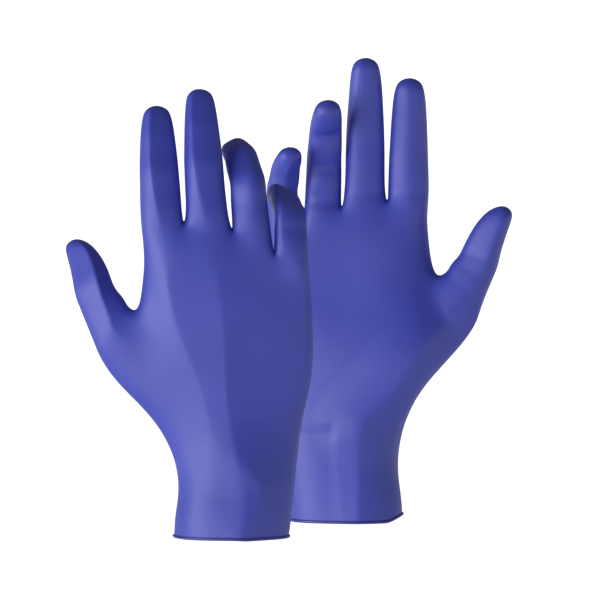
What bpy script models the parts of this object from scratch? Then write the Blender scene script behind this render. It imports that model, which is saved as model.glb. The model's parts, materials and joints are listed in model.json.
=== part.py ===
"""A pair of thin disposable gloves in worn shape, fingers up.

The front glove shows the back of the hand and the rear glove its palm. Each glove is one film, drawn as a
cage of quads that is subdivided once, and divided where the film flexes: a bead, a cuff, a hand and the
finger links. The film across each crease is left open, so that the links can turn.

Everything is designed in millimetres in the glove's own frame: thumb towards -X, back of the hand towards
-Y, palm towards +Y, fingers towards +Z, the cuff opening's centre at the origin.
"""
import math

import bmesh
import bpy
from mathutils import Matrix, Vector

MM = 0.001

# The film and its rim
WALL = 0.4
BEAD_HEIGHT = 1.5
BEAD_WIDTH = 1.8

# Joints: half the film left open across a crease, under the palm and over the back, and the hinge's
# depth under the palm side. A root also bends back a little, so it is open further over the back.
CREASE_PALM = 4.5
CREASE_BACK = 0.5
CREASE_BACK_ROOT = 1.7
HINGE_DEPTH = 4.0
ROOT_HINGE = 5.8
WRIST_HEIGHT = 31.0
WRIST_CREASE_PALM = 3.5
WRIST_CREASE_BACK = 6.0
WRIST_AXIS_Y = -5.0
WRIST_HALF_DEPTH = 20.5
TIP_RATIO = 2.0 / 3.0

# The control cage stands outside the smooth surface by this much
CAGE_SWELL = 1.079
CORNER = 0.78
SUBDIVISION = 1

# Where the rear glove stands, and how much further its hand is drawn out of the cuff
REAR_PLACE = (60.8, 106.0, 0.0)
REAR_LIFT = 10.5
REAR_WEB_DROP = 5.5
REAR_WEB_SHIFT = 1.7
REAR_SPREAD = 0.955
LIFT_FROM = 22.0
LIFT_FULL = 50.0
SPREAD_FROM = 75.0
SPREAD_FULL = 130.0

# Sections of cuff and hand: height, thumb side, little-finger side, ridge over the index bone,
# ridge over the middle bone, depth to the back, depth to the palm, roundness
SECTIONS = (
    (1.8, -31.4, 31.0, -14.0, 3.0, 23.5, 23.5, 1.0),
    (12.0, -31.0, 32.6, -13.0, 3.0, 23.0, 23.0, 1.0),
    (31.0, -27.5, 34.4, -11.0, 3.0, 20.5, 20.8, 1.0),
    (54.0, -36.1, 36.2, -9.5, 0.5, 19.0, 20.0, 0.55),
    (70.0, -50.2, 40.2, -13.5, -2.0, 18.5, 19.0, 0.2),
    (84.0, -64.9, 43.8, -17.5, -2.8, 18.0, 17.0, 0.0),
    (102.0, -57.0, 44.6, -25.0, -3.3, 17.5, 15.5, 0.0),
    (119.0, -50.3, 44.2, -32.0, -4.2, 17.0, 14.0, 0.0),
    (147.0, -46.9, 42.6, -36.0, -8.5, 15.0, 13.0, 0.0),
)
THUMB_ROWS = (5, 6, 7)

# The fall of the highest section towards the little finger, and where across the hand it begins and ends
OUTER_FALL = 14.0
FALL_FROM = -5.0
FALL_TO = 40.0

BACK_STEPS = (0.22, 0.42, 0.63, 0.81, 0.95)
BACK_ROOF = (0.46, 0.92, 0.965, 1.0, 0.89, 0.78, 0.66, 0.53, 0.34)
PALM_STEPS = (0.05, 0.17, 0.30, 0.42, 0.54, 0.66, 0.77, 0.87, 0.95)
PALM_ARCH = (0.50, 0.84, 0.96, 1.0, 1.0, 0.98, 0.92, 0.77, 0.48)

# Pads of the palm: centre x and z, radius, height
PALM_PADS = ((-40.0, 86.0, 26.0, 5.0), (26.0, 74.0, 22.0, 3.0), (-2.0, 112.0, 20.0, -2.0))

# Webs between the fingers, from the index finger's thumb side to the little finger's outer side: x, z
WEBS = ((-48.6, 163.0), (-25.4, 166.2), (0.5, 162.2), (22.4, 149.3), (41.5, 143.0))
WEB_BACK = -8.5
WEB_PALM = 8.5

# Fingers: widths at root, middle joint, tip joint and tip, and the tilt of the two outer hinges. Then for
# each glove the straight length from the web and, in degrees, the finger's lean, the bend at its root and
# at its middle joint, and its sway to the side above the middle joint.
FINGERS = {
    "index": dict(widths=(22.6, 20.8, 18.9, 17.2), tilt=0.0,
                  front=(65.3, -2.5, 9.0, 8.0, 0.0), rear=(69.3, -0.6, 3.0, 4.0, 0.0)),
    "middle": dict(widths=(21.2, 21.0, 18.6, 16.6), tilt=0.0,
                   front=(75.3, -3.8, 10.0, 10.0, 0.0), rear=(80.6, -0.4, 3.0, 4.0, 0.0)),
    "ring": dict(widths=(20.0, 19.0, 17.8, 16.2), tilt=11.0,
                 front=(69.4, -5.6, 8.0, 40.0, -5.5), rear=(72.9, -2.3, 5.0, 26.0, 0.0)),
    "little": dict(widths=(17.6, 16.8, 15.6, 14.4), tilt=13.0,
                   front=(54.6, -2.3, 12.0, 48.0, -7.5), rear=(56.5, 3.4, 7.0, 28.0, -10.0)),
}
MIDDLE_JOINT_AT = 0.42
TIP_JOINT_AT = 0.69
DEPTH_OF_WIDTH = 0.86

# The thumb's rings: the side near the index finger and the outer side (x, z each), centre y and half depth
THUMB_RINGS = (
    ((-54.0, 121.5), (-69.8, 95.0), 1.5, 12.6),
    ((-55.8, 125.0), (-72.2, 102.2), 2.5, 12.2),
    ((-57.6, 127.8), (-75.0, 109.4), 3.5, 11.6),
    ((-60.8, 130.8), (-80.2, 121.4), 4.5, 10.8),
    ((-62.6, 134.6), (-82.2, 127.2), 5.0, 10.4),
    ((-64.6, 139.2), (-83.2, 133.2), 5.5, 9.9),
    ((-69.2, 148.0), (-86.6, 145.0), 6.5, 8.8),
    ((-76.0, 155.8), (-90.4, 154.4), 7.5, 7.2),
)
THUMB_TIP = (-85.6, 8.0, 161.6)
THUMB_BENDS = {"front": (8.0, 20.0), "rear": (0.0, 0.0)}
THUMB_HINGE_RINGS = (1, 4)
REAR_THUMB_RISE = 1.0
THUMB_CREASE_BACK = (2.5, 0.5)

ZONES = ("hand", "thumb", "index", "middle", "ring", "little")

RUBBER_BLUE = (0.075, 0.078, 0.42, 1.0)


def smooth_step(value, low, high):
    part = min(max((value - low) / (high - low), 0.0), 1.0)
    return part * part * (3.0 - 2.0 * part)


def lifted(glove, z):
    """The rear glove's hand is drawn further out of its cuff."""
    if glove == "front":
        return z
    return z + REAR_LIFT * smooth_step(z, LIFT_FROM, LIFT_FULL)


def webs(glove):
    """The webs between the fingers: the rear glove's are lower on its lifted hand, and a little closer."""
    if glove == "front":
        return WEBS
    return tuple((x * REAR_SPREAD + REAR_WEB_SHIFT, lifted(glove, z) - REAR_WEB_DROP) for x, z in WEBS)


def pad_height(x, z):
    """How far the palm's pads stand out at a place on the palm."""
    height = 0.0
    for pad_x, pad_z, radius, peak in PALM_PADS:
        distance = math.hypot(x - pad_x, (z - pad_z) * 0.8) / radius
        height += peak * math.exp(-distance * distance)
    return height


def section_height(glove, z, x):
    """A section's height at a place across the hand: the highest one falls towards the little finger."""
    fall = OUTER_FALL if z == SECTIONS[-1][0] else 0.0
    return lifted(glove, z) - fall * smooth_step(x, FALL_FROM, FALL_TO)


def hand_section(glove, section):
    """Twenty points round the hand: thumb side, nine over the back, outer side, nine under the palm."""
    z, left, right, ridge_a, ridge_b, back, palm, roundness = section
    if glove == "rear":
        spread = 1.0 + (REAR_SPREAD - 1.0) * smooth_step(z, SPREAD_FROM, SPREAD_FULL)
        left, right, ridge_a, ridge_b = (x * spread for x in (left, right, ridge_a, ridge_b))
    middle = (left + right) / 2
    half = (right - left) / 2

    def round_depth(x):
        return math.sqrt(max(1.0 - ((x - middle) / half) ** 2, 0.0))

    back_xs = [left + 0.30 * (ridge_a - left), ridge_a, (ridge_a + ridge_b) / 2, ridge_b]
    back_xs += [ridge_b + step * (right - ridge_b) for step in BACK_STEPS]
    points = [Vector((left, 0.0, section_height(glove, z, left)))]
    for x, roof in zip(back_xs, BACK_ROOF):
        depth = back * (roundness * round_depth(x) + (1.0 - roundness) * roof)
        points.append(Vector((x, -depth, section_height(glove, z, x))))
    points.append(Vector((right, 0.0, section_height(glove, z, right))))
    palm_points = []
    for number, (step, arch) in enumerate(zip(PALM_STEPS, PALM_ARCH)):
        even = left + step * (right - left)
        round_x = middle - half * math.cos(math.pi * (number + 1) / 10)
        x = roundness * round_x + (1.0 - roundness) * even
        depth = palm * (roundness * round_depth(x) + (1.0 - roundness) * arch)
        depth += (1.0 - roundness) * pad_height(x, z)
        palm_points.append(Vector((x, depth, section_height(glove, z, x))))
    return points + palm_points[::-1]


def ring_points(centre, across, through, half_width, half_depth):
    """Eight points round a finger, from its back at the thumb side, round by the little-finger side."""
    spots = (
        (-CORNER, -CORNER), (0.0, -1.0), (CORNER, -CORNER), (1.0, 0.0),
        (CORNER, CORNER), (0.0, 1.0), (-CORNER, CORNER), (-1.0, 0.0),
    )
    return [centre + across * (u * half_width) + through * (v * half_depth) for u, v in spots]


def crease_plane(centre, axis, through, half_depth, side, back):
    """A plane through a finger parallel to its hinge, set off more under the palm than over the back."""
    along = through.cross(axis)
    palm_edge = centre + through * half_depth + along * (side * CREASE_PALM)
    back_edge = centre - through * half_depth + along * (side * back)
    return palm_edge, axis.cross(back_edge - palm_edge).normalized()


def interpolate(value, knots, heights):
    for low, high, start, end in zip(knots, knots[1:], heights, heights[1:]):
        if value <= high:
            part = max((value - low) / (high - low), 0.0)
            return start + (end - start) * part
    return heights[-1]


class Finger:
    """A finger drawn straight: where its rings stand, and where its three hinges are."""

    def __init__(self, glove, name, number):
        spec = FINGERS[name]
        (left_x, left_z), (right_x, right_z) = webs(glove)[number:number + 2]
        self.length, lean, root_bend, middle_bend, sway = spec[glove]
        lean = math.radians(lean)
        root_z = (left_z + right_z) / 2
        self.root = Vector(((left_x + right_x) / 2, 0.0, root_z))
        self.along = Vector((math.sin(lean), 0.0, math.cos(lean)))
        self.across = Vector((math.cos(lean), 0.0, -math.sin(lean)))
        self.through = Vector((0.0, 1.0, 0.0))
        self.widths = spec["widths"]
        self.tilt = math.radians(spec["tilt"])
        self.web_top = max(left_z, right_z) - root_z
        middle_hinge = MIDDLE_JOINT_AT * self.length
        self.hinges_at = (self.web_top + ROOT_HINGE, middle_hinge, TIP_JOINT_AT * self.length)
        self.bends = ((root_bend, 0.0), (middle_bend, sway), (middle_bend * TIP_RATIO, 0.0))

    def width(self, s):
        tip_from = self.length - self.widths[3] / 2
        return interpolate(s, (0.0, self.hinges_at[1], self.hinges_at[2], tip_from), self.widths)

    def centre(self, s):
        return self.root + self.along * s

    def rings(self):
        """The rings of eight points, from the root hinge to the tip."""
        tip_half = self.widths[3] / 2
        rings = [self.ring(s, self.width(s) / 2 * CAGE_SWELL) for s in self.hinges_at]
        for inward, share in ((1.0, 0.97), (0.32, 0.76)):
            rings.append(self.ring(self.length - inward * tip_half, tip_half * share * CAGE_SWELL))
        return rings

    def ring(self, s, half):
        return ring_points(self.centre(s), self.across, self.through, half, half * DEPTH_OF_WIDTH)

    def tip(self):
        return self.centre(self.length + 0.05 * self.widths[3])

    def hinge(self, number):
        """A hinge's point and axis with the finger straight. A positive turn bends it towards the palm."""
        s = self.hinges_at[number]
        depth = self.width(s) / 2 * DEPTH_OF_WIDTH - HINGE_DEPTH
        tilt = self.tilt if number else 0.0
        axis = self.along * math.sin(tilt) - self.across * math.cos(tilt)
        return self.centre(s) + self.through * depth, axis

    def cut(self, number, side):
        """The plane that ends a link beside a hinge, below it (-1) or above it (1): a point and a normal."""
        s = self.hinges_at[number]
        half_depth = self.width(s) / 2 * DEPTH_OF_WIDTH
        back = CREASE_BACK if number else CREASE_BACK_ROOT
        return crease_plane(self.centre(s), self.hinge(number)[1], self.through, half_depth, side, back)


class Thumb:
    """The thumb: its rings fan out round the web, and its two hinges lie in the hand's plane."""

    def __init__(self, glove):
        self.glove = glove
        self.bends = tuple((bend, 0.0) for bend in THUMB_BENDS[glove])
        self.through = Vector((0.0, 1.0, 0.0))

    def height(self, z):
        """The rear glove's thumb is raised a little more than its hand."""
        return lifted(self.glove, z) + (REAR_THUMB_RISE if self.glove == "rear" else 0.0)

    def frame(self, number):
        (inner_x, inner_z), (outer_x, outer_z), centre_y, half_depth = THUMB_RINGS[number]
        inner = Vector((inner_x, centre_y, self.height(inner_z)))
        outer = Vector((outer_x, centre_y, self.height(outer_z)))
        return (inner + outer) / 2, (inner - outer).normalized(), (inner - outer).length / 2, half_depth

    def rings(self):
        rings = []
        for number in range(len(THUMB_RINGS)):
            centre, across, half, half_depth = self.frame(number)
            half *= CAGE_SWELL
            rings.append(ring_points(centre, across, self.through, half, half_depth * CAGE_SWELL))
        return rings

    def tip(self):
        x, y, z = THUMB_TIP
        return Vector((x, y, self.height(z)))

    def hinge(self, number):
        centre, across, _, half_depth = self.frame(THUMB_HINGE_RINGS[number])
        return centre + self.through * (half_depth - HINGE_DEPTH), -across

    def cut(self, number, side):
        centre, across, _, half_depth = self.frame(THUMB_HINGE_RINGS[number])
        return crease_plane(centre, -across, self.through, half_depth, side, THUMB_CREASE_BACK[number])


def glove_cage(glove):
    """The straight glove's control cage: vertices, faces, and the zone that each face belongs to."""
    verts, faces, zones = [], [], []

    def add(points):
        first = len(verts)
        verts.extend(points)
        return list(range(first, first + len(points)))

    def bridge(low, high, zone):
        count = len(low)
        for k in range(count):
            after = (k + 1) % count
            faces.append((low[k], low[after], high[after], high[k]))
            zones.append(zone)

    sections = [add(hand_section(glove, section)) for section in SECTIONS]
    low_row, _, high_row = THUMB_ROWS
    for row in range(len(sections) - 1):
        low, high = sections[row], sections[row + 1]
        for k in range(20):
            after = (k + 1) % 20
            if low_row <= row < high_row and (k == 0 or after == 0):
                continue
            faces.append((low[k], low[after], high[after], high[k]))
            zones.append("hand")

    # the webs between the fingers, and each finger's root ring
    backs, middles, palms = [], [], []
    for number, (x, height) in enumerate(webs(glove)):
        outer = (2.5, 0.0, 0.0, 0.0, -2.5)[number]
        backs += add([Vector((x + outer, WEB_BACK, height - 2.0))])
        middles += add([Vector((x, 0.0, height))])
        palms += add([Vector((x + outer, WEB_PALM, height - 1.0))])
    top = sections[-1]
    top_back, top_palm = top[1:10], top[11:20][::-1]
    faces.append((top[0], top_back[0], backs[0], middles[0]))
    faces.append((top_back[8], top[10], middles[4], backs[4]))
    faces.append((top[10], top_palm[8], palms[4], middles[4]))
    faces.append((top_palm[0], top[0], middles[0], palms[0]))
    zones.extend(["hand"] * 4)
    for number, name in enumerate(FINGERS):
        finger = Finger(glove, name, number)
        half_depth = finger.widths[0] / 2 * DEPTH_OF_WIDTH * 1.12
        low_z = finger.root.z - 0.5
        back = add([Vector((finger.root.x, -half_depth, low_z))])[0]
        palm = add([Vector((finger.root.x, half_depth, low_z))])[0]
        left, right = 2 * number, 2 * number + 2
        faces.append((top_back[left], top_back[left + 1], back, backs[number]))
        faces.append((top_back[left + 1], top_back[right], backs[number + 1], back))
        faces.append((top_palm[left + 1], top_palm[left], palms[number], palm))
        faces.append((top_palm[right], top_palm[left + 1], palm, palms[number + 1]))
        zones.extend(["hand"] * 4)
        ring = [backs[number], back, backs[number + 1], middles[number + 1]]
        ring += [palms[number + 1], palm, palms[number], middles[number]]
        grow(finger, ring, name, add, bridge, faces, zones)

    low, mid, high = (sections[row] for row in THUMB_ROWS)
    loop = [low[1], mid[1], high[1], high[0], high[19], mid[19], low[19], low[0]]
    grow(Thumb(glove), loop, "thumb", add, bridge, faces, zones)
    return verts, faces, zones


def grow(finger, ring, name, add, bridge, faces, zones):
    """Bridge a finger's rings upwards from its root ring, and close its tip."""
    for points in finger.rings():
        above = add(points)
        bridge(ring, above, name)
        ring = above
    centre = add([finger.tip()])[0]
    for k in range(0, 8, 2):
        faces.append((ring[k], ring[k + 1], ring[(k + 2) % 8], centre))
        zones.append(name)


def smooth_film(glove):
    """The straight glove's film as a bmesh in millimetres, smoothed by one subdivision.

    Each face's material_index is its zone: 0 for the hand, then the thumb and the fingers in order.
    """
    verts, faces, zones = glove_cage(glove)
    mesh = bpy.data.meshes.new("cage")
    mesh.from_pydata([tuple(v) for v in verts], [], faces)
    for _ in ZONES:
        mesh.materials.append(None)
    for polygon, zone in zip(mesh.polygons, zones):
        polygon.material_index = ZONES.index(zone)
    cage = bpy.data.objects.new("cage", mesh)
    bpy.context.scene.collection.objects.link(cage)
    smooth = cage.modifiers.new("smooth", "SUBSURF")
    smooth.levels = SUBDIVISION
    smooth.render_levels = SUBDIVISION
    film = bmesh.new()
    film.from_mesh(cage.evaluated_get(bpy.context.evaluated_depsgraph_get()).to_mesh())
    bpy.data.objects.remove(cage)
    bpy.data.meshes.remove(mesh)
    loose = [v for v in film.verts if not v.link_faces]
    bmesh.ops.delete(film, geom=loose, context="VERTS")
    return film


def keep_zone(film, zone):
    """A copy of the film that holds one zone's faces only."""
    part = film.copy()
    others = [face for face in part.faces if face.material_index != ZONES.index(zone)]
    bmesh.ops.delete(part, geom=others, context="FACES")
    return part


def cut_off(film, plane, zone=None):
    """Cut away what lies beyond a plane, in the whole film or in one zone's faces."""
    point, normal = plane
    faces = [f for f in film.faces if zone is None or f.material_index == ZONES.index(zone)]
    geom = faces + list({e for f in faces for e in f.edges}) + list({v for f in faces for v in f.verts})
    bmesh.ops.bisect_plane(
        film, geom=geom, dist=1e-5, plane_co=point, plane_no=normal, clear_outer=True,
    )


def flipped(plane):
    return plane[0], -plane[1]


def turn(point, axis, degrees):
    """The rotation about an axis through a point."""
    spin = Matrix.Rotation(math.radians(degrees), 4, axis)
    return Matrix.Translation(point) @ spin @ Matrix.Translation(-point)


def placed(glove):
    """The glove's place in the world."""
    if glove == "front":
        return Matrix.Identity(4)
    return Matrix.Translation(REAR_PLACE) @ Matrix.Rotation(math.pi, 4, "Z")


def rubber(name):
    material = bpy.data.materials.new(name)
    material.use_nodes = True
    shader = material.node_tree.nodes["Principled BSDF"]
    shader.inputs["Base Color"].default_value = RUBBER_BLUE
    shader.inputs["Roughness"].default_value = 0.42
    shader.inputs["Metallic"].default_value = 0.0
    return material


def make_object(name, points, faces, origin):
    """An object in metres whose own origin is the given point in millimetres."""
    mesh = bpy.data.meshes.new(name)
    mesh.from_pydata([tuple((p - origin) * MM) for p in points], [], faces)
    mesh.materials.append(rubber(name))
    mesh.shade_smooth()
    thing = bpy.data.objects.new(name, mesh)
    thing.location = origin * MM
    bpy.context.scene.collection.objects.link(thing)
    return thing


def film_node(name, film, matrix, origin):
    """One zone of the film, moved by its matrix and given its wall, inwards."""
    film.verts.index_update()
    points = [matrix @ v.co for v in film.verts]
    faces = [tuple(v.index for v in face.verts) for face in film.faces]
    thing = make_object(name, points, faces, origin)
    wall = thing.modifiers.new("wall", "SOLIDIFY")
    wall.thickness = WALL * MM
    wall.offset = -1.0
    wall.use_even_offset = False
    wall.use_rim = True
    film.free()


def bead_node(name, rim, matrix):
    """The rolled rim: a rounded section with a flat underside, swept round the cuff's edge."""
    count = len(rim)
    low, high = 0.0, BEAD_HEIGHT
    half, flat = BEAD_WIDTH / 2, BEAD_WIDTH * 0.3
    section = ((half, (low + high) / 2), (flat, high), (-flat, high), (-half, (low + high) / 2),
               (-flat, low), (flat, low))
    points, faces = [], []
    for k, spot in enumerate(rim):
        tangent = rim[(k + 1) % count] - rim[k - 1]
        out = Vector((tangent.y, -tangent.x, 0.0)).normalized()
        for offset, height in section:
            points.append(matrix @ Vector((spot.x + out.x * offset, spot.y + out.y * offset, height)))
    sides = len(section)
    for k in range(count):
        after = (k + 1) % count
        for side in range(sides):
            beside = (side + 1) % sides
            faces.append((k * sides + side, k * sides + beside, after * sides + beside, after * sides + side))
    return make_object(name, points, [face[::-1] for face in faces], matrix.translation)


def cuff_rim(film):
    """The film's lowest ring of points, in order round the cuff's opening."""
    rim = [v.co.copy() for v in film.verts if v.is_boundary and v.co.z < WRIST_HEIGHT / 2]
    return sorted(rim, key=lambda spot: math.atan2(spot.y, spot.x))


def wrist_plane(side):
    """The plane that ends the cuff (-1) or starts the hand (1), opening more over the back."""
    palm_edge = Vector((0.0, WRIST_HALF_DEPTH, WRIST_HEIGHT + side * WRIST_CREASE_PALM))
    back_edge = Vector((0.0, -WRIST_HALF_DEPTH, WRIST_HEIGHT + side * WRIST_CREASE_BACK))
    return palm_edge, Vector((1.0, 0.0, 0.0)).cross(palm_edge - back_edge).normalized()


def build_glove(glove):
    film = smooth_film(glove)
    place = placed(glove)
    fingers = {"thumb": Thumb(glove)}
    for number, name in enumerate(FINGERS):
        fingers[name] = Finger(glove, name, number)

    bead_node(f"{glove}_bead", cuff_rim(film), place)
    cuff = keep_zone(film, "hand")
    cut_off(cuff, wrist_plane(-1))
    film_node(f"{glove}_cuff", cuff, place, place.translation)
    hand = film.copy()
    cut_off(hand, flipped(wrist_plane(1)))
    for name, finger in fingers.items():
        cut_off(hand, finger.cut(0, -1), name)
    wrist = Vector((0.0, WRIST_AXIS_Y, WRIST_HEIGHT))
    film_node(f"{glove}_hand", hand, place, place @ wrist)

    for name, finger in fingers.items():
        links = ("base", "tip") if name == "thumb" else ("base", "middle", "tip")
        matrix = place
        for number, link_name in enumerate(links):
            point, axis = finger.hinge(number)
            bend, sway = finger.bends[number]
            matrix = matrix @ turn(point, axis, bend) @ turn(point, finger.through, sway)
            link = keep_zone(film, name)
            cut_off(link, flipped(finger.cut(number, 1)))
            if link_name != "tip":
                cut_off(link, finger.cut(number + 1, -1))
            film_node(f"{glove}_{name}_{link_name}", link, matrix, matrix @ point)
    film.free()


def clear_scene():
    for thing in list(bpy.data.objects):
        bpy.data.objects.remove(thing)


clear_scene()
build_glove("front")
build_glove("rear")
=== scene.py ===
"""Looks for a pair of worn nitrile gloves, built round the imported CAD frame.

Each glove is drawn straight as one fine film of quads, bent to its rest shape by blended turns about its
hinges, creased and wrinkled, given a thin wall, and then split into pieces that each cross one joint.

Lengths are in millimetres in the glove's own frame (thumb towards -X, back of the hand towards -Y, palm
towards +Y, fingers towards +Z, the cuff opening's centre at the origin) until a piece is made.
"""

import json
import math

import bmesh
import bpy
import numpy as np
from mathutils import Matrix, Vector
from mathutils import noise


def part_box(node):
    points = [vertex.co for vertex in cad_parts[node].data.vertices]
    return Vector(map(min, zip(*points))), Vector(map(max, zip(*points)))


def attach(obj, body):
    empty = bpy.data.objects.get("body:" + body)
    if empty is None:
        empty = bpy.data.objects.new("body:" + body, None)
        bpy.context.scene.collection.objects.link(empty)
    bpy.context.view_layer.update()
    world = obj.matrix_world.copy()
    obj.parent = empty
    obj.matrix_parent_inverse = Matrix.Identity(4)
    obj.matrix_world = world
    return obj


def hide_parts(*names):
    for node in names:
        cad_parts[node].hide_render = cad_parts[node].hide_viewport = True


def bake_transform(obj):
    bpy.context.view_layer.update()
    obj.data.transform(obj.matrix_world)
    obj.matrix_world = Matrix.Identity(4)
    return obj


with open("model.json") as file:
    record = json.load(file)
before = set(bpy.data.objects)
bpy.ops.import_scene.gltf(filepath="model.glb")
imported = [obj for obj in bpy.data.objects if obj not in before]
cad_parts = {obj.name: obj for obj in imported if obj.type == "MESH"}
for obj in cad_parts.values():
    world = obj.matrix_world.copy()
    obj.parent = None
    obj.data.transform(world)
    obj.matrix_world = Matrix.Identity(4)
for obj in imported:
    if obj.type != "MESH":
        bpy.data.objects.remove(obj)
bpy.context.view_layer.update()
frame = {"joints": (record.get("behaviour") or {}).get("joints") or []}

MM = 0.001

# The film's real wall, the fineness of its mesh, and the half width of a bend at rest
WALL = 0.15
SUBDIVISION = 3
REST_BEND = 7.0

# The cage is the CAD model's, with a flatter cuff, stronger pads, narrower thumb root and rounder fingertips
ROOT_HINGE = 5.8
HINGE_DEPTH = 4.0
TIP_RATIO = 2.0 / 3.0
CAGE_SWELL = 1.079
CORNER = 0.78
REAR_LIFT = 10.5
REAR_WEB_DROP = 5.5
REAR_WEB_SHIFT = 1.7
REAR_SPREAD = 0.955
LIFT_FROM = 22.0
LIFT_FULL = 50.0
SPREAD_FROM = 75.0
SPREAD_FULL = 130.0

# Sections of cuff and hand: height, thumb side, little-finger side, ridge over the index bone,
# ridge over the middle bone, depth to the back, depth to the palm, roundness
SECTIONS = (
    (1.2, -31.4, 31.0, -21.0, 4.0, 23.5, 23.5, 0.42),
    (12.0, -31.0, 32.6, -20.5, 7.0, 23.0, 23.0, 0.42),
    (31.0, -27.5, 34.4, -16.0, 6.0, 20.5, 20.8, 0.45),
    (54.0, -36.1, 36.2, -9.5, 0.5, 19.0, 20.0, 0.55),
    (70.0, -50.2, 40.2, -13.5, -2.0, 18.5, 19.0, 0.2),
    (84.0, -64.9, 43.8, -17.5, -2.8, 18.0, 17.0, 0.0),
    (102.0, -57.0, 44.6, -25.0, -3.3, 17.5, 15.5, 0.0),
    (119.0, -50.3, 44.2, -32.0, -4.2, 17.0, 14.0, 0.0),
    (147.0, -46.9, 42.6, -36.0, -8.5, 15.0, 13.0, 0.0),
)
THUMB_ROWS = (5, 6, 7)
HAND_POINTS = 20

# The fall of the highest section towards the little finger, and where across the hand it begins and ends
OUTER_FALL = 14.0
FALL_FROM = -5.0
FALL_TO = 40.0

# Across the hand: the first point's share of the way to the first ridge, then the steps beyond the second
# ridge and under the palm, with the depth at each point as a share of the section's
FIRST_STEP = 0.30
BACK_STEPS = (0.22, 0.42, 0.63, 0.81, 0.95)
BACK_ROOF = (0.44, 0.92, 0.965, 1.0, 0.86, 0.72, 0.58, 0.44, 0.28)
PALM_STEPS = (0.05, 0.17, 0.30, 0.42, 0.54, 0.66, 0.77, 0.87, 0.95)
PALM_ARCH = (0.56, 0.92, 1.03, 1.04, 0.99, 0.92, 0.83, 0.69, 0.43)

# Pads of the palm: centre x and z, radius, height. They are longer than wide.
PAD_STRETCH = 0.8
PALM_PADS = ((-40.0, 90.0, 24.0, 3.5), (-10.0, 76.0, 32.0, 7.0), (-2.0, 116.0, 22.0, -3.0))

# Webs between the fingers, from the index finger's thumb side to the little finger's outer side: x, z
WEBS = ((-48.6, 163.0), (-25.4, 166.2), (0.5, 162.2), (22.4, 149.3), (41.5, 143.0))
WEB_BACK = -8.5
WEB_PALM = 8.5
WEB_BACK_DROP = 2.0
WEB_PALM_DROP = 1.0
OUTER_WEB_INSET = 2.5
ROOT_SWELL = 1.12
ROOT_DROP = 0.5

# Fingers: widths at root, middle joint, tip joint and tip, and the tilt of the two outer hinges. Then for
# each glove the straight length from the web and, in degrees, the finger's lean, the bend at its root and
# at its middle joint, and its sway to the side above the middle joint.
FINGERS = {
    "index": dict(widths=(22.6, 20.8, 18.9, 17.2), tilt=0.0,
                  front=(65.3, -2.5, 9.0, 8.0, 0.0), rear=(69.3, -0.6, 3.0, 4.0, 0.0)),
    "middle": dict(widths=(21.2, 21.0, 18.6, 16.6), tilt=0.0,
                   front=(75.3, -3.8, 10.0, 10.0, 0.0), rear=(80.6, -0.4, 3.0, 4.0, 0.0)),
    "ring": dict(widths=(20.0, 19.0, 17.8, 16.2), tilt=11.0,
                 front=(69.4, -5.6, 8.0, 40.0, -5.5), rear=(72.9, -2.3, 5.0, 26.0, 0.0)),
    "little": dict(widths=(17.6, 16.8, 15.6, 14.4), tilt=13.0,
                   front=(54.6, -2.3, 12.0, 48.0, -7.5), rear=(56.5, 3.4, 7.0, 28.0, -10.0)),
}
# The ridge along each finger: the column of points it follows, how far across from the centre, the slopes
# down to the thumb's side and to the other side, sharpness
BACK_COLUMN, PALM_COLUMN = 1, 5
FINGER_RIDGES = {
    "front": {
        "thumb": (BACK_COLUMN, 0.42, (0.34, 0.42), 0.6),
        "index": (BACK_COLUMN, -0.42, (0.15, 0.22), 0.8),
        "middle": (BACK_COLUMN, -0.50, (0.10, 0.10), 0.45),
        "ring": (BACK_COLUMN, 0.25, (0.42, 0.25), 0.1),
        "little": (BACK_COLUMN, -0.60, (0.0, 0.45), 0.0),
    },
    "rear": {
        "thumb": (PALM_COLUMN, -0.35, (0.05, 0.20), 0.3),
        "index": (PALM_COLUMN, 0.05, (0.12, 0.10), 0.3),
        "middle": (PALM_COLUMN, 0.25, (0.14, 0.0), 0.2),
        "ring": (PALM_COLUMN, 0.10, (0.08, 0.04), 0.0),
        "little": (PALM_COLUMN, 0.10, (0.40, 0.15), 0.4),
    },
}
# How sharply the ridge columns are folded in each row of the hand, from the cuff up
HAND_RIDGES = {
    "front": {
        2: (0.0, 0.0, 0.2, 0.7, 0.9, 0.9, 0.9, 0.8),
        4: (0.3, 0.3, 0.5, 0.9, 1.0, 1.0, 1.0, 0.8),
    },
    "rear": {
        2: (0.0, 0.0, 0.0, 0.2, 0.3, 0.3, 0.3, 0.2),
        15: (0.8, 0.8, 0.5, 0.0, 0.0, 0.0, 0.0, 0.0),
    },
}
MIDDLE_JOINT_AT = 0.42
TIP_JOINT_AT = 0.69
DEPTH_OF_WIDTH = 0.86
SPLIT_ABOVE_WEB = 0.8

# A fingertip's last rings, as shares of its half width: how far in from the end, and half width. Then how
# far the tip stands past the end, as a share of the width.
TIP_RINGS = ((1.0, 0.96), (0.35, 0.73))
TIP_OVER = 0.07

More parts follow.
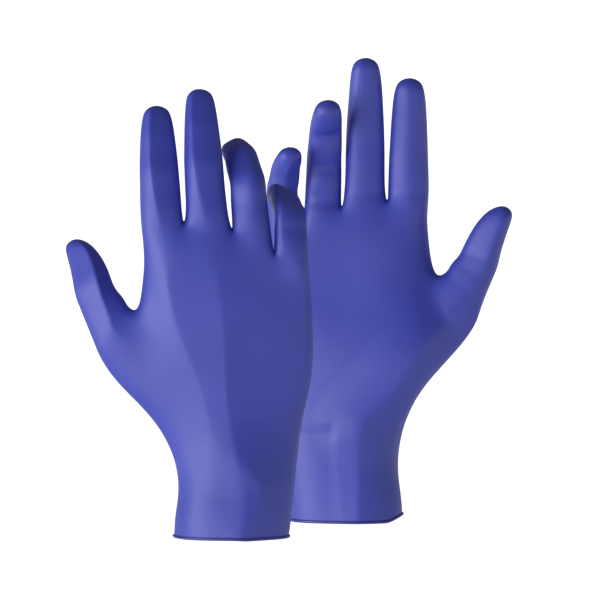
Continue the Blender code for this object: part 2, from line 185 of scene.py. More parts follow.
# The thumb's rings: the side near the index finger and the outer side (x, z each), centre y and half depth
THUMB_RINGS = (
    ((-54.0, 121.5), (-69.8, 95.0), 3.4, 10.7),
    ((-55.8, 125.0), (-72.2, 102.2), 4.0, 10.7),
    ((-57.6, 127.8), (-75.0, 109.4), 4.5, 10.6),
    ((-60.8, 130.8), (-80.2, 121.4), 4.5, 10.8),
    ((-62.6, 134.6), (-82.2, 127.2), 5.0, 10.4),
    ((-64.6, 139.2), (-83.2, 133.2), 5.5, 9.9),
    ((-69.2, 148.0), (-86.6, 145.0), 6.5, 8.8),
    ((-76.0, 155.8), (-90.4, 154.4), 7.5, 7.2),
)
THUMB_TIP = (-85.6, 8.0, 161.6)
THUMB_BENDS = {"front": (8.0, 20.0), "rear": (0.0, 0.0)}
THUMB_HINGE_RINGS = (1, 4)
THUMB_SPLIT_DROP = 0.5
REAR_THUMB_RISE = 1.0

ZONES = ("hand", "thumb", "index", "middle", "ring", "little")
LINKS = {"thumb": ("base", "tip")}
FINGER_LINKS = ("base", "middle", "tip")


# ---------------------------------------------------------------- the straight glove

def smooth_step(value, low, high):
    part = min(max((value - low) / (high - low), 0.0), 1.0)
    return part * part * (3.0 - 2.0 * part)


def lifted(glove, z):
    """The rear glove's hand is drawn further out of its cuff."""
    if glove == "front":
        return z
    return z + REAR_LIFT * smooth_step(z, LIFT_FROM, LIFT_FULL)


def webs(glove):
    """The webs between the fingers: the rear glove's are lower on its lifted hand, and a little closer."""
    if glove == "front":
        return WEBS
    return tuple((x * REAR_SPREAD + REAR_WEB_SHIFT, lifted(glove, z) - REAR_WEB_DROP) for x, z in WEBS)


def pad_height(x, z):
    """How far the palm's pads stand out at a place on the palm."""
    height = 0.0
    for pad_x, pad_z, radius, peak in PALM_PADS:
        distance = math.hypot(x - pad_x, (z - pad_z) * PAD_STRETCH) / radius
        height += peak * math.exp(-distance * distance)
    return height


def section_height(glove, z, x):
    """A section's height at a place across the hand: the highest one falls towards the little finger."""
    fall = OUTER_FALL if z == SECTIONS[-1][0] else 0.0
    return lifted(glove, z) - fall * smooth_step(x, FALL_FROM, FALL_TO)


def hand_section(glove, section):
    """Twenty points round the hand: thumb side, nine over the back, outer side, nine under the palm."""
    z, left, right, ridge_a, ridge_b, back, palm, roundness = section
    if glove == "rear":
        spread = 1.0 + (REAR_SPREAD - 1.0) * smooth_step(z, SPREAD_FROM, SPREAD_FULL)
        left, right, ridge_a, ridge_b = (x * spread for x in (left, right, ridge_a, ridge_b))
    middle = (left + right) / 2
    half = (right - left) / 2

    def round_depth(x):
        return math.sqrt(max(1.0 - ((x - middle) / half) ** 2, 0.0))

    back_xs = [left + FIRST_STEP * (ridge_a - left), ridge_a, (ridge_a + ridge_b) / 2, ridge_b]
    back_xs += [ridge_b + step * (right - ridge_b) for step in BACK_STEPS]
    points = [Vector((left, 0.0, section_height(glove, z, left)))]
    for x, roof in zip(back_xs, BACK_ROOF):
        depth = back * (roundness * round_depth(x) + (1.0 - roundness) * roof)
        points.append(Vector((x, -depth, section_height(glove, z, x))))
    points.append(Vector((right, 0.0, section_height(glove, z, right))))
    palm_points = []
    for number, (step, arch) in enumerate(zip(PALM_STEPS, PALM_ARCH)):
        even = left + step * (right - left)
        round_x = middle - half * math.cos(math.pi * (number + 1) / (HAND_POINTS / 2))
        x = roundness * round_x + (1.0 - roundness) * even
        depth = palm * (roundness * round_depth(x) + (1.0 - roundness) * arch)
        depth += (1.0 - roundness) * pad_height(x, z)
        palm_points.append(Vector((x, depth, section_height(glove, z, x))))
    return points + palm_points[::-1]


def ring_points(centre, across, through, half_width, half_depth, ridge, part=1.0):
    """Eight points round a finger, from its back at the thumb side, round by the little-finger side.

    On the side of its ridge, the middle point stands off centre, with a slope down to either side.
    """
    column, shift, (thumb_slope, outer_slope), _ = ridge
    spots = [
        (-CORNER, -CORNER), (0.0, -1.0), (CORNER, -CORNER), (1.0, 0.0),
        (CORNER, CORNER), (0.0, 1.0), (-CORNER, CORNER), (-1.0, 0.0),
    ]
    side = 1.0 if column == PALM_COLUMN else -1.0
    for k in (column - 1, column + 1):
        slope = thumb_slope if spots[k][0] < 0.0 else outer_slope
        spots[k] = (spots[k][0], side * (CORNER - slope * part))
    spots[column] = (shift * part, side)
    return [centre + across * (u * half_width) + through * (v * half_depth) for u, v in spots]


def interpolate(value, knots, heights):
    for low, high, start, end in zip(knots, knots[1:], heights, heights[1:]):
        if value <= high:
            part = max((value - low) / (high - low), 0.0)
            return start + (end - start) * part
    return heights[-1]


class Finger:
    """A finger drawn straight: where its rings stand, where its hinges are, and where it is split."""

    def __init__(self, glove, name, number):
        spec = FINGERS[name]
        (left_x, left_z), (right_x, right_z) = webs(glove)[number:number + 2]
        self.length, lean, root_bend, middle_bend, sway = spec[glove]
        lean = math.radians(lean)
        root_z = (left_z + right_z) / 2
        self.root = Vector(((left_x + right_x) / 2, 0.0, root_z))
        self.along = Vector((math.sin(lean), 0.0, math.cos(lean)))
        self.across = Vector((math.cos(lean), 0.0, -math.sin(lean)))
        self.through = Vector((0.0, 1.0, 0.0))
        self.widths = spec["widths"]
        self.ridge = FINGER_RIDGES[glove][name]
        self.tilt = math.radians(spec["tilt"])
        self.web_top = max(left_z, right_z) - root_z
        middle_hinge = MIDDLE_JOINT_AT * self.length
        tip_hinge = TIP_JOINT_AT * self.length
        self.hinges_at = (self.web_top + ROOT_HINGE, middle_hinge, tip_hinge)
        self.splits_at = (
            self.web_top + SPLIT_ABOVE_WEB,
            (self.web_top + ROOT_HINGE + middle_hinge) / 2,
            (middle_hinge + tip_hinge) / 2,
        )
        self.bends = ((root_bend, 0.0), (middle_bend, sway), (middle_bend * TIP_RATIO, 0.0))

    def width(self, s):
        tip_from = self.length - self.widths[3] / 2
        return interpolate(s, (0.0, self.hinges_at[1], self.hinges_at[2], tip_from), self.widths)

    def centre(self, s):
        return self.root + self.along * s

    def rings(self):
        """The rings of eight points, from the root hinge to the tip."""
        tip_half = self.widths[3] / 2
        rings = [self.ring(s, self.width(s) / 2 * CAGE_SWELL) for s in self.hinges_at]
        for inward, share in TIP_RINGS:
            rings.append(self.ring(self.length - inward * tip_half, tip_half * share * CAGE_SWELL))
        return rings

    def ring(self, s, half):
        part = min(s / self.hinges_at[1], 1.0)
        return ring_points(self.centre(s), self.across, self.through, half, half * DEPTH_OF_WIDTH,
                           self.ridge, part)

    def tip(self):
        return self.centre(self.length + TIP_OVER * self.widths[3])

    def hinge(self, number):
        """A hinge's point and axis with the finger straight. A positive turn bends it towards the palm."""
        s = self.hinges_at[number]
        depth = self.width(s) / 2 * DEPTH_OF_WIDTH - HINGE_DEPTH
        tilt = self.tilt if number else 0.0
        axis = self.along * math.sin(tilt) - self.across * math.cos(tilt)
        return self.centre(s) + self.through * depth, axis

    def split(self, number):
        """The plane below a hinge where the film is split into pieces: a point and a normal."""
        return self.centre(self.splits_at[number]), self.along

    def past_hinge(self, number, places):
        """How far along the finger each place lies past a hinge."""
        return (places - np.array(self.centre(self.hinges_at[number]))) @ np.array(self.along)


class Thumb:
    """The thumb: its rings fan out round the web, and its two hinges lie in the hand's plane.

    It has the same methods as a finger.
    """

    def __init__(self, glove):
        self.glove = glove
        self.bends = tuple((bend, 0.0) for bend in THUMB_BENDS[glove])
        self.through = Vector((0.0, 1.0, 0.0))
        self.ridge = FINGER_RIDGES[glove]["thumb"]

    def height(self, z):
        """The rear glove's thumb is raised a little more than its hand."""
        return lifted(self.glove, z) + (REAR_THUMB_RISE if self.glove == "rear" else 0.0)

    def frame(self, number):
        """A ring's centre, its direction across, and its half width and depth."""
        (inner_x, inner_z), (outer_x, outer_z), centre_y, half_depth = THUMB_RINGS[number]
        inner = Vector((inner_x, centre_y, self.height(inner_z)))
        outer = Vector((outer_x, centre_y, self.height(outer_z)))
        return (inner + outer) / 2, (inner - outer).normalized(), (inner - outer).length / 2, half_depth

    def rings(self):
        rings = []
        for number in range(len(THUMB_RINGS)):
            centre, across, half, half_depth = self.frame(number)
            half *= CAGE_SWELL
            part = min(number / THUMB_HINGE_RINGS[1], 1.0)
            rings.append(ring_points(centre, across, self.through, half, half_depth * CAGE_SWELL,
                                     self.ridge, part))
        return rings

    def tip(self):
        x, y, z = THUMB_TIP
        return Vector((x, y, self.height(z)))

    def hinge(self, number):
        centre, across, _, half_depth = self.frame(THUMB_HINGE_RINGS[number])
        return centre + self.through * (half_depth - HINGE_DEPTH), -across

    def split(self, number):
        if number == 0:
            centre, across, _, _ = self.frame(0)
            along = across.cross(self.through)
            return centre - along * THUMB_SPLIT_DROP, along
        low, high = self.frame(2), self.frame(3)
        across = (low[1] + high[1]).normalized()
        return (low[0] + high[0]) / 2, across.cross(self.through)

    def past_hinge(self, number, places):
        centre, across, _, _ = self.frame(THUMB_HINGE_RINGS[number])
        return (places - np.array(centre)) @ np.array(across.cross(self.through))


class Cage:
    """A control cage as it grows: vertices, faces, each face's zone, and the sharpness of ridge edges."""

    def __init__(self):
        self.verts, self.faces, self.zones = [], [], []
        self.ridges = {}

    def add(self, points):
        first = len(self.verts)
        self.verts.extend(points)
        return list(range(first, len(self.verts)))

    def face(self, zone, *corners):
        self.faces.append(corners)
        self.zones.append(zone)

    def bridge(self, low, high, zone, skipped=()):
        """Faces between two rings, but for those that touch a skipped column."""
        count = len(low)
        for k in range(count):
            after = (k + 1) % count
            if k not in skipped and after not in skipped:
                self.face(zone, low[k], low[after], high[after], high[k])

    def grow(self, finger, ring, name):
        """Bridge a finger's rings upwards from its root ring, and close its tip."""
        column, _, _, sharpness = finger.ridge
        for points in finger.rings():
            above = self.add(points)
            self.bridge(ring, above, name)
            self.ridges[(ring[column], above[column])] = sharpness
            ring = above
        centre = self.add([finger.tip()])[0]
        for k in range(0, 8, 2):
            self.face(name, ring[k], ring[k + 1], ring[(k + 2) % 8], centre)


def add_hand(cage, glove):
    """The rows of cuff and hand, open where the thumb leaves."""
    sections = [cage.add(hand_section(glove, section)) for section in SECTIONS]
    for row, (low, high) in enumerate(zip(sections, sections[1:])):
        beside_thumb = THUMB_ROWS[0] <= row < THUMB_ROWS[2]
        cage.bridge(low, high, "hand", skipped=(0,) if beside_thumb else ())
        for column, sharpness in HAND_RIDGES[glove].items():
            cage.ridges[(low[column], high[column])] = sharpness[row]
    return sections


def add_fingers(cage, glove, fingers, top):
    """The webs between the fingers, joined to the hand's highest section, and the fingers on them."""
    backs, middles, palms = [], [], []
    places = webs(glove)
    for number, (x, height) in enumerate(places):
        inset = {0: OUTER_WEB_INSET, len(places) - 1: -OUTER_WEB_INSET}.get(number, 0.0)
        backs += cage.add([Vector((x + inset, WEB_BACK, height - WEB_BACK_DROP))])
        middles += cage.add([Vector((x, 0.0, height))])
        palms += cage.add([Vector((x + inset, WEB_PALM, height - WEB_PALM_DROP))])
    top_back, top_palm = top[1:10], top[11:20][::-1]
    cage.face("hand", top[0], top_back[0], backs[0], middles[0])
    cage.face("hand", top_back[8], top[10], middles[4], backs[4])
    cage.face("hand", top[10], top_palm[8], palms[4], middles[4])
    cage.face("hand", top_palm[0], top[0], middles[0], palms[0])
    for number, name in enumerate(FINGERS):
        finger = fingers[name]
        half_depth = finger.widths[0] / 2 * DEPTH_OF_WIDTH * ROOT_SWELL
        root_z = finger.root.z - ROOT_DROP
        back = cage.add([Vector((finger.root.x, -half_depth, root_z))])[0]
        palm = cage.add([Vector((finger.root.x, half_depth, root_z))])[0]
        left = 2 * number
        middle, right = left + 1, left + 2
        cage.face("hand", top_back[left], top_back[middle], back, backs[number])
        cage.face("hand", top_back[middle], top_back[right], backs[number + 1], back)
        cage.face("hand", top_palm[middle], top_palm[left], palms[number], palm)
        cage.face("hand", top_palm[right], top_palm[middle], palm, palms[number + 1])
        ring = [backs[number], back, backs[number + 1], middles[number + 1]]
        ring += [palms[number + 1], palm, palms[number], middles[number]]
        cage.grow(finger, ring, name)


def glove_cage(glove, fingers):
    """The straight glove's control cage."""
    cage = Cage()
    sections = add_hand(cage, glove)
    add_fingers(cage, glove, fingers, sections[-1])
    low, mid, high = (sections[row] for row in THUMB_ROWS)
    loop = [low[1], mid[1], high[1], high[0], high[19], mid[19], low[19], low[0]]
    cage.grow(fingers["thumb"], loop, "thumb")
    return cage


def fine_film(glove, fingers):
    """The straight glove's film as a fine bmesh, with edges along every line where it is split.

    Each face's material_index is its zone: 0 for the hand, then the thumb and the fingers in order.
    """
    cage = glove_cage(glove, fingers)
    mesh = bpy.data.meshes.new("cage")
    mesh.from_pydata([tuple(v) for v in cage.verts], [], cage.faces)
    for _ in ZONES:
        mesh.materials.append(None)
    for polygon, zone in zip(mesh.polygons, cage.zones):
        polygon.material_index = ZONES.index(zone)
    crease = mesh.attributes.new("crease_edge", "FLOAT", "EDGE")
    for edge in mesh.edges:
        ends = tuple(edge.vertices)
        crease.data[edge.index].value = cage.ridges.get(ends, cage.ridges.get(ends[::-1], 0.0))
    shape = bpy.data.objects.new("cage", mesh)
    bpy.context.scene.collection.objects.link(shape)
    smooth = shape.modifiers.new("smooth", "SUBSURF")
    smooth.levels = SUBDIVISION
    smooth.render_levels = SUBDIVISION
    film = bmesh.new()
    film.from_mesh(shape.evaluated_get(bpy.context.evaluated_depsgraph_get()).to_mesh())
    bpy.data.objects.remove(shape)
    bpy.data.meshes.remove(mesh)
    loose = [v for v in film.verts if not v.link_faces]
    bmesh.ops.delete(film, geom=loose, context="VERTS")
    for name, finger in fingers.items():
        zone = ZONES.index(name)
        for number in range(len(finger.bends)):
            point, normal = finger.split(number)
            near = [f for f in film.faces if f.material_index == zone]
            edges = list(dict.fromkeys(e for f in near for e in f.edges))
            verts = list(dict.fromkeys(v for f in near for v in f.verts))
            bmesh.ops.bisect_plane(film, geom=near + edges + verts, dist=1e-4,
                                   plane_co=point, plane_no=normal)
    bmesh.ops.triangulate(film, faces=[f for f in film.faces if len(f.verts) > 4])
    return film


# ---------------------------------------------------------------- bending the film

def turned(points, pivot, axis, angles):
    """Points turned about an axis through a pivot, each by its own angle in radians."""
    pivot, axis = np.array(pivot), np.array(axis)
    rel = points - pivot
    cos, sin = np.cos(angles)[:, None], np.sin(angles)[:, None]
    return pivot + rel * cos + np.cross(axis, rel) * sin + np.outer(rel @ axis, axis) * (1.0 - cos)


def shares(values, low, high):
    part = np.clip((values - low) / (high - low), 0.0, 1.0)
    return part * part * (3.0 - 2.0 * part)


def bent(raised, straight, zone_of_point, fingers):
    """The film's points at rest: every finger is turned about its hinges, from the tip down."""
    points = raised.copy()
    for name, finger in fingers.items():
        chosen = zone_of_point == ZONES.index(name)
        moved = points[chosen]
        for number in reversed(range(len(finger.bends))):
            pivot, axis = finger.hinge(number)
            share = shares(finger.past_hinge(number, straight[chosen]), -REST_BEND, REST_BEND)
            bend, sway = finger.bends[number]
            moved = turned(moved, pivot, finger.through, math.radians(sway) * share)
            moved = turned(moved, pivot, axis, math.radians(bend) * share)
        points[chosen] = moved
    return points


# ---------------------------------------------------------------- relief

# Creases across the palm side of the joints, from the root out: depth and half width
CREASES = {
    "front": {
        "thumb": ((0.5, 3.5), (0.6, 2.6)),
        "index": ((0.3, 2.5), (0.4, 2.6), (0.4, 2.4)),
        "middle": ((0.3, 2.5), (0.5, 2.6), (0.4, 2.4)),
        "ring": ((0.3, 2.5), (0.7, 2.6), (0.6, 2.4)),
        "little": ((0.3, 2.5), (0.7, 2.6), (0.6, 2.4)),
    },
    "rear": {
        "thumb": ((0.2, 3.5), (0.3, 3.0)),
        "index": ((0.5, 3.5), (0.25, 3.0), (0.25, 3.0)),
        "middle": ((0.5, 3.5), (0.3, 3.0), (0.25, 3.0)),
        "ring": ((1.6, 4.5), (0.9, 3.5), (2.2, 4.6)),
        "little": ((0.3, 3.0), (0.6, 3.0), (0.6, 3.0)),
    },
}

# Knuckles over the back of the joints: height and half width
KNUCKLES = ((0.0, 6.0), (0.35, 5.0), (0.2, 4.0))

# Ridges where the film is pulled over the wrist, palm and cuff: side (-1 back, 1 palm), height, half width,
# path. A ridge grows as the film turns to its side, and it is a tent with a slightly hollow slope.
FOLD_TURN = 1.6
TENT_POWER = 1.3
FOLDS = {
    "front": (
        (-1, 3.7, 26.0, ((7.0, 38.0), (15.0, 28.0), (13.0, 18.0), (5.0, 4.0))),
    ),
    "rear": (
        (1, 2.2, 16.0, ((-6.5, 0.0), (-7.0, 22.0), (-6.0, 44.0))),
        (1, -1.8, 4.5, ((25.0, 46.5), (17.0, 47.0), (8.0, 48.5))),
        (1, 5.0, 26.0, ((-56.0, 112.0), (-41.0, 97.0), (-31.0, 82.0), (-22.0, 69.0), (-8.0, 55.0))),
    ),
}

# How far the rear glove's cuff is rounded off, between which places across it, and up to what height
CUFF_CORNER = 3.4
CORNER_ACROSS = (21.0, 33.0)
CORNER_HEIGHT = (2.0, 16.0)

# Slow unevenness of the film: height and size of the waves. It starts above the rolled rim.
UNEVEN = ((0.35, 34.0), (0.12, 13.0))
UNEVEN_FROM = 12.0
WAVE_SEED = 7.0
GLOVE_SEEDS = {"front": 0.0, "rear": 3.0}


def path_distance(x, z, path):
    """The distance of places on the hand from a bent line."""
    best = np.full(len(x), np.inf)
    for (x0, z0), (x1, z1) in zip(path, path[1:]):
        along = np.array((x1 - x0, z1 - z0))
        part = ((x - x0) * along[0] + (z - z0) * along[1]) / (along @ along)
        part = np.clip(part, 0.0, 1.0)
        best = np.minimum(best, np.hypot(x - x0 - part * along[0], z - z0 - part * along[1]))
    return best


def relief(glove, straight, normals, zone_of_point, fingers):
    """How far each point of the film stands out from the smooth shape, in millimetres."""
    x, y, z = straight.T
    rise = np.zeros(len(straight))
    for name, finger in fingers.items():
        chosen = zone_of_point == ZONES.index(name)
        palm = np.clip(normals[chosen, 1], 0.0, 1.0)
        back = np.clip(-normals[chosen, 1], 0.0, 1.0)
        for number, ((depth, width), (height, knuckle)) in enumerate(zip(CREASES[glove][name], KNUCKLES)):
            past = finger.past_hinge(number, straight[chosen])
            rise[chosen] -= depth * palm * np.exp(-((past / width) ** 2))
            rise[chosen] += height * back * np.exp(-((past / knuckle) ** 2))
    in_hand = zone_of_point <= ZONES.index("thumb")
    for side, height, width, path in FOLDS[glove]:
        facing = np.clip(side * normals[:, 1] * FOLD_TURN, 0.0, 1.0)
        tent = np.clip(1.0 - path_distance(x, z, path) / width, 0.0, 1.0)
        rise += in_hand * height * facing * tent ** TENT_POWER
    for number, (height, size) in enumerate(UNEVEN):
        seed = Vector((WAVE_SEED * number + GLOVE_SEEDS[glove], 0.0, 0.0))
        waves = [noise.noise(Vector(point) / size + seed) for point in straight]
        rise += height * np.array(waves) * np.clip(z / UNEVEN_FROM, 0.0, 1.0)
    return rise


def cuff_rise(glove, straight):
    """The rear glove's cuff is rounded off at its thumb side."""
    if glove == "front":
        return np.zeros(len(straight))
    x, _, z = straight.T
    return CUFF_CORNER * shares(-x, *CORNER_ACROSS) * (1.0 - shares(z, *CORNER_HEIGHT))


# ---------------------------------------------------------------- pieces

# The rolled rim's section, and how many of a fingertip's points stand for its far end
BEAD_RADIUS = 0.85
BEAD_SIDES = 10
FAR_POINTS = 40


def placed(glove):
    """The glove's place in the world, in millimetres: the rear one is turned round and stands behind."""
    if glove == "front":
        return Matrix.Identity(4)
    low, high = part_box("rear_bead")
    centre = (low + high) / 2 / MM
    return Matrix.Translation((centre.x, centre.y, 0.0)) @ Matrix.Rotation(math.pi, 4, "Z")


def vertex_normals(points, faces):
    """Area-weighted normals of the film's points."""
    normals = np.zeros_like(points)
    corners = points[faces]
    flat = np.cross(corners[:, 2] - corners[:, 0], corners[:, 3] - corners[:, 1])
    for k in range(4):
        np.add.at(normals, faces[:, k], flat)
    return normals / np.linalg.norm(normals, axis=1)[:, None]


def shell_piece(name, points, normals, faces, straight, material):
    """A thin-walled piece from some of the film's faces, with the whole film's normals, so no seam shows.

    Faces hold four corners each; a triangle repeats its last corner.
    """
    used, local = np.unique(faces, return_inverse=True)
    local = local.reshape(faces.shape)
    count = len(used)
    outer, normal = points[used], normals[used]
    inner = outer - normal * WALL
    corners = [tuple(dict.fromkeys(face)) for face in local.tolist()]
    inside = [tuple(k + count for k in reversed(face)) for face in corners]
    edges = {}
    for face in corners:
        for start, end in zip(face, face[1:] + face[:1]):
            edges[(start, end)] = edges.get((start, end), 0) + 1
    open_edges = [(a, b) for a, b in edges if (b, a) not in edges]
    rims = [(b, a, a + count, b + count) for a, b in open_edges]
    mesh = bpy.data.meshes.new(name)
    mesh.from_pydata(np.vstack([outer, inner]) * MM, [], corners + inside + rims)
    mesh.shade_smooth()
    corner_normals = [normal[k] for face in corners for k in face]
    corner_normals += [-normal[k - count] for face in inside for k in face]
    for rim in rims:
        flat = np.cross(outer[rim[1]] - outer[rim[0]], normal[rim[0]])
        flat = flat / max(np.linalg.norm(flat), 1e-9)
        corner_normals += [-flat] * 4
    mesh.normals_split_custom_set([tuple(n) for n in corner_normals])
    place = mesh.attributes.new("film_place", "FLOAT_VECTOR", "POINT")
    place.data.foreach_set("vector", (np.vstack([straight[used]] * 2) * MM).astype(np.float32).ravel())
    mesh.materials.append(material)
    piece = bpy.data.objects.new(name, mesh)
    bpy.data.collections[name.split("_")[0]].objects.link(piece)
    return piece


def frame_joint(name):
    return next(joint for joint in frame["joints"] if joint["name"] == name)


def cross_joint(piece, joint, low_ring, high_ring):
    """Work out a direction at a joint from the piece's two end rings, which nothing uses, and bake the
    piece's place into its mesh.
    """
    pivot = np.array(joint["pos_m"])
    ahead = high_ring.mean(axis=0) - pivot
    behind = pivot - low_ring.mean(axis=0)
    direction = ahead / np.linalg.norm(ahead) + behind / np.linalg.norm(behind)
    direction -= (direction @ np.array(joint["axis"])) * np.array(joint["axis"])
    direction /= np.linalg.norm(direction)
    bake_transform(piece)


def film_arrays(film):
    """The film's points, its faces' corners and its faces' zones. A triangle repeats its last corner."""
    film.verts.index_update()
    points = np.array([v.co for v in film.verts])
    corners = [[v.index for v in f.verts] for f in film.faces]
    faces = np.array([face + face[-1:] * (4 - len(face)) for face in corners])
    return points, faces, np.array([f.material_index for f in film.faces])


def link_code(name, number):
    """The number that marks a finger's link among the film's faces. The hand is 0."""
    return ZONES.index(name) * 10 + number


def face_owners(straight, faces, zone_of_face, fingers):
    """Which piece each face belongs to, as a link code."""
    centres = straight[faces].mean(axis=1)
    owner = np.zeros(len(faces), int)
    for name, finger in fingers.items():
        in_zone = zone_of_face == ZONES.index(name)
        for number in range(len(finger.bends)):
            point, normal = finger.split(number)
            past = (centres - np.array(point)) @ np.array(normal) > 0
            owner[in_zone & past] = link_code(name, number)
    return owner


def build_hand(glove, make_piece):
    """Cuff and hand are one piece."""
    hand = make_piece(f"{glove}_hand_film", 0)
    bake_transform(hand)
    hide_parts(f"{glove}_cuff", f"{glove}_hand")


def build_finger(glove, name, make_piece, ring_between, far_end):
    """Each link is a piece, and the CAD part it stands for is hidden."""
    links = LINKS.get(name, FINGER_LINKS)
    for number, link in enumerate(links):
        code = link_code(name, number)
        piece = make_piece(f"{glove}_{name}_{link}_film", code)
        below = ring_between(code - 1 if number else 0, code)
        last = number + 1 == len(links)
        above = far_end(code, below) if last else ring_between(code, code + 1)
        joint = frame_joint(f"{glove}_{name}_{link if number else 'root'}")
        cross_joint(piece, joint, below, above)
        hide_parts(f"{glove}_{name}_{link}")


def build_glove(glove, material, bead_material):
    fingers = {"thumb": Thumb(glove)}
    for number, name in enumerate(FINGERS):
        fingers[name] = Finger(glove, name, number)
    film = fine_film(glove, fingers)
    straight, faces, zone_of_face = film_arrays(film)
    film.free()
    zone_of_point = np.zeros(len(straight), int)
    for zone in range(1, len(ZONES)):
        zone_of_point[faces[zone_of_face == zone]] = zone

    flat_normals = vertex_normals(straight, faces)
    raised = straight + flat_normals * relief(glove, straight, flat_normals, zone_of_point, fingers)[:, None]
    raised[:, 2] += cuff_rise(glove, straight)
    points = bent(raised, straight, zone_of_point, fingers)
    normals = vertex_normals(points, faces)
    place = np.array(placed(glove))
    points = points @ place[:3, :3].T + place[:3, 3]
    normals = normals @ place[:3, :3].T
    owner = face_owners(straight, faces, zone_of_face, fingers)

    def make_piece(name, code):
        return shell_piece(name, points, normals, faces[owner == code], straight, material)

    def ring_between(first, second):
        return points[np.intersect1d(faces[owner == first], faces[owner == second])] * MM

    def far_end(code, below):
        body = points[np.unique(faces[owner == code])] * MM
        nearness = -np.linalg.norm(body - below.mean(axis=0), axis=1)
        return body[np.argsort(nearness)[:FAR_POINTS]]

    build_hand(glove, make_piece)
    for name in fingers:
        build_finger(glove, name, make_piece, ring_between, far_end)

    # the rolled rim follows the film's lowest ring
    bead = bead_piece(f"{glove}_rolled_rim", boundary_ring(faces, points), bead_material)
    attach(bead, f"{glove}_glove")
    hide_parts(f"{glove}_bead")


def boundary_ring(faces, points):
    """The points of the film's open edge at the cuff, in order round it."""
    edges = {}
    for face in faces.tolist():
        face = list(dict.fromkeys(face))
        for start, end in zip(face, face[1:] + face[:1]):
            edges[(start, end)] = True
    after = {a: b for a, b in edges if (b, a) not in edges}
    first = next(iter(after))
    ring = [first]
    while after[ring[-1]] != first:
        ring.append(after[ring[-1]])
    return points[ring]


def bead_piece(name, ring, material):
    """The rolled rim: a round section swept along the cuff's edge."""
    count = len(ring)
    points, faces = [], []
    for k in range(count):
        tangent = ring[(k + 1) % count] - ring[k - 1]
        out = np.array((tangent[1], -tangent[0], 0.0))
        out /= np.linalg.norm(out)
        for side in range(BEAD_SIDES):
            angle = math.tau * side / BEAD_SIDES
            spot = ring[k] + out * (BEAD_RADIUS * math.cos(angle))
            points.append(spot + np.array((0, 0, BEAD_RADIUS * (1.0 + math.sin(angle)) - SECTIONS[0][0])))
    for k in range(count):
        after = (k + 1) % count
        for side in range(BEAD_SIDES):
            beside = (side + 1) % BEAD_SIDES
            face = (k * BEAD_SIDES + side, k * BEAD_SIDES + beside,
                    after * BEAD_SIDES + beside, after * BEAD_SIDES + side)
            faces.append(face)
    mesh = bpy.data.meshes.new(name)
    mesh.from_pydata(np.array(points) * MM, [], faces)
    shape = bmesh.new()
    shape.from_mesh(mesh)
    bmesh.ops.recalc_face_normals(shape, faces=shape.faces)
    shape.to_mesh(mesh)
    shape.free()
    mesh.shade_smooth()
    place = mesh.attributes.new("film_place", "FLOAT_VECTOR", "POINT")
    place.data.foreach_set("vector", (np.array(points) * MM).astype(np.float32).ravel())
    mesh.materials.append(material)
    piece = bpy.data.objects.new(name, mesh)
    bpy.data.collections[name.split("_")[0]].objects.link(piece)
    return piece


# ---------------------------------------------------------------- materials

def nitrile(name, colour, deep, roughness):
    """Blue nitrile: two close blues in soft patches, a faint grain, and a soft sheen."""
    material = bpy.data.materials.new(name)
    material.use_nodes = True
    nodes, links = material.node_tree.nodes, material.node_tree.links
    shader = nodes["Principled BSDF"]
    shader.inputs["Roughness"].default_value = roughness
    shader.inputs["IOR"].default_value = 1.52
    shader.inputs["Specular IOR Level"].default_value = 0.95
    place = nodes.new("ShaderNodeAttribute")
    place.attribute_name = "film_place"
    patches = nodes.new("ShaderNodeTexNoise")
    patches.inputs["Scale"].default_value = 28.0
    patches.inputs["Detail"].default_value = 2.0
    links.new(place.outputs["Vector"], patches.inputs["Vector"])
    tones = nodes.new("ShaderNodeValToRGB")
    tones.color_ramp.elements[0].position = 0.35
    tones.color_ramp.elements[0].color = deep
    tones.color_ramp.elements[1].position = 0.65
    tones.color_ramp.elements[1].color = colour
    links.new(patches.outputs["Fac"], tones.inputs["Fac"])
    links.new(tones.outputs["Color"], shader.inputs["Base Color"])
    grain = nodes.new("ShaderNodeTexNoise")
    grain.inputs["Scale"].default_value = 1500.0
    grain.inputs["Detail"].default_value = 3.0
    links.new(place.outputs["Vector"], grain.inputs["Vector"])
    bump = nodes.new("ShaderNodeBump")
    bump.inputs["Strength"].default_value = 0.06
    bump.inputs["Distance"].default_value = 0.0002
    links.new(grain.outputs["Fac"], bump.inputs["Height"])
    links.new(bump.outputs["Normal"], shader.inputs["Normal"])
    return material


# ---------------------------------------------------------------- studio

# In metres. The floor lies below the gloves, which touch nothing.
FLOOR_HEIGHT = -0.35
FLOOR_SIZE = 60.0

# The world's strength as a light and as the camera sees it
WORLD_LIGHT = 0.15
BACKDROP = 1.0

# The floor's own light: distance from the middle, strength, near and far
FLOOR_NEAR = (1.8, 0.36)
FLOOR_FAR = (3.2, 1.1)

# Lamps: distance, degrees to the left of the camera and above level, size, power
LAMPS = {
    "key": (2.2, 58.0, 2.0, 1.8, 35.5),
    "fill": (1.2, 20.0, -20.0, 0.8, 1.0),
}

# The camera: its aim, its distance and degrees above level, and the width it takes in at that distance
CAMERA_AIM = (0.0363, 0.0575, 0.1221)
CAMERA_DISTANCE = 8.0
CAMERA_ELEVATION = 4.0
VIEW_WIDTH = 0.32
SENSOR = 36.0


def aim(thing, target):
    thing.rotation_euler = (Vector(target) - thing.location).to_track_quat("-Z", "Y").to_euler()


def direction_to(azimuth, elevation):
    """From the subject to a place so many degrees left of the camera and above level."""
    azimuth, elevation = math.radians(azimuth), math.radians(elevation)
    level = math.cos(elevation)
    return Vector((-math.sin(azimuth) * level, -math.cos(azimuth) * level, math.sin(elevation)))


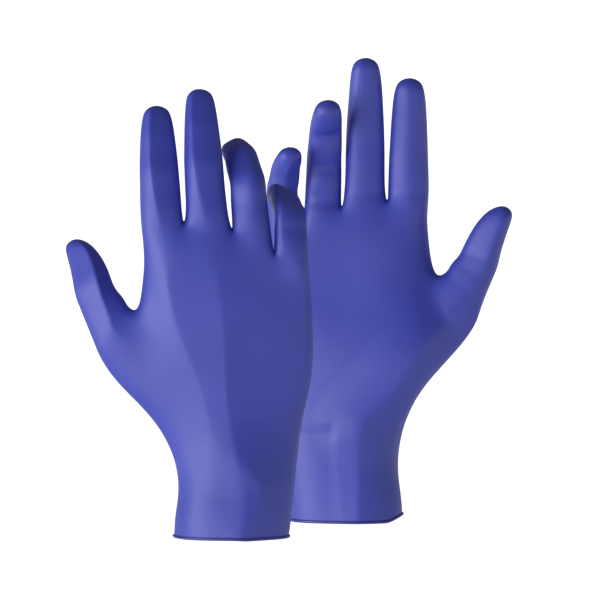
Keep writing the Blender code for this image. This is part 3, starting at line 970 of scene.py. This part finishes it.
def area_light(name, place, target, size, power):
    lamp = bpy.data.lights.new(name, "AREA")
    lamp.shape = "SQUARE"
    lamp.size = size
    lamp.energy = power
    light = bpy.data.objects.new(name, lamp)
    light.location = place
    bpy.context.scene.collection.objects.link(light)
    aim(light, target)
    return light


def light_gloves():
    """Each glove has its own lamps, so that the front one doesn't shade the one behind."""
    for glove in FINGER_RIDGES:
        low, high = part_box(f"{glove}_hand")
        centre = (low + high) / 2
        for name, (away, azimuth, elevation, size, power) in LAMPS.items():
            place = centre + away * direction_to(azimuth, elevation)
            light = area_light(f"{glove}_{name}", place, centre, size, power)
            light.light_linking.receiver_collection = bpy.data.collections[glove]
            light.light_linking.blocker_collection = bpy.data.collections[glove]


def set_world():
    world = bpy.data.worlds.new("studio")
    bpy.context.scene.world = world
    world.use_nodes = True
    nodes, links = world.node_tree.nodes, world.node_tree.links
    sky = nodes["Background"]
    sky.inputs["Color"].default_value = (1.0, 1.0, 1.0, 1.0)
    rays = nodes.new("ShaderNodeLightPath")
    strength = nodes.new("ShaderNodeMapRange")
    strength.inputs["To Min"].default_value = WORLD_LIGHT
    strength.inputs["To Max"].default_value = BACKDROP
    links.new(rays.outputs["Is Camera Ray"], strength.inputs["Value"])
    links.new(strength.outputs["Result"], sky.inputs["Strength"])


def floor_glow_paint():
    """White paint that glows, which is painted light: the glow grows the further it is from the middle, so
    the far floor shows white, and it lights the gloves a little from below.
    """
    white = bpy.data.materials.new("floor_white_glow")
    white.use_nodes = True
    nodes, links = white.node_tree.nodes, white.node_tree.links
    paint = nodes["Principled BSDF"]
    paint.inputs["Base Color"].default_value = (0.85, 0.85, 0.85, 1.0)
    paint.inputs["Roughness"].default_value = 0.9
    paint.inputs["Specular IOR Level"].default_value = 0.0
    paint.inputs["Emission Color"].default_value = (1.0, 1.0, 1.0, 1.0)
    place = nodes.new("ShaderNodeTexCoord")
    radius = nodes.new("ShaderNodeVectorMath")
    radius.operation = "LENGTH"
    links.new(place.outputs["Object"], radius.inputs[0])
    glow = nodes.new("ShaderNodeMapRange")
    glow.inputs["From Min"].default_value = FLOOR_NEAR[0]
    glow.inputs["To Min"].default_value = FLOOR_NEAR[1]
    glow.inputs["From Max"].default_value = FLOOR_FAR[0]
    glow.inputs["To Max"].default_value = FLOOR_FAR[1]
    links.new(radius.outputs["Value"], glow.inputs["Value"])
    # painted light: the floor's glow, weak near the gloves and strong far off
    links.new(glow.outputs["Result"], paint.inputs["Emission Strength"])
    return white


def lay_floor():
    bpy.ops.mesh.primitive_plane_add(size=FLOOR_SIZE, location=(0.0, 0.0, FLOOR_HEIGHT))
    floor = bpy.context.object
    floor.name = "floor"
    floor.data.materials.append(floor_glow_paint())


def place_camera():
    lens = bpy.data.cameras.new("camera")
    lens.sensor_width = SENSOR
    lens.lens = SENSOR * CAMERA_DISTANCE / VIEW_WIDTH
    lens.clip_start = 0.1
    lens.clip_end = 100.0
    camera = bpy.data.objects.new("camera", lens)
    bpy.context.scene.collection.objects.link(camera)
    camera.location = Vector(CAMERA_AIM) + CAMERA_DISTANCE * direction_to(0.0, CAMERA_ELEVATION)
    aim(camera, CAMERA_AIM)
    bpy.context.scene.camera = camera


film_material = nitrile("nitrile", (0.040, 0.060, 0.52, 1.0), (0.036, 0.055, 0.48, 1.0), 0.55)
bead_material = nitrile("nitrile_bead", (0.030, 0.033, 0.33, 1.0), (0.026, 0.030, 0.29, 1.0), 0.4)
for glove_name in FINGER_RIDGES:
    glove_pieces = bpy.data.collections.new(glove_name)
    bpy.context.scene.collection.children.link(glove_pieces)
    build_glove(glove_name, film_material, bead_material)
bpy.context.scene.view_settings.view_transform = "Standard"
set_world()
lay_floor()
light_gloves()
place_camera()
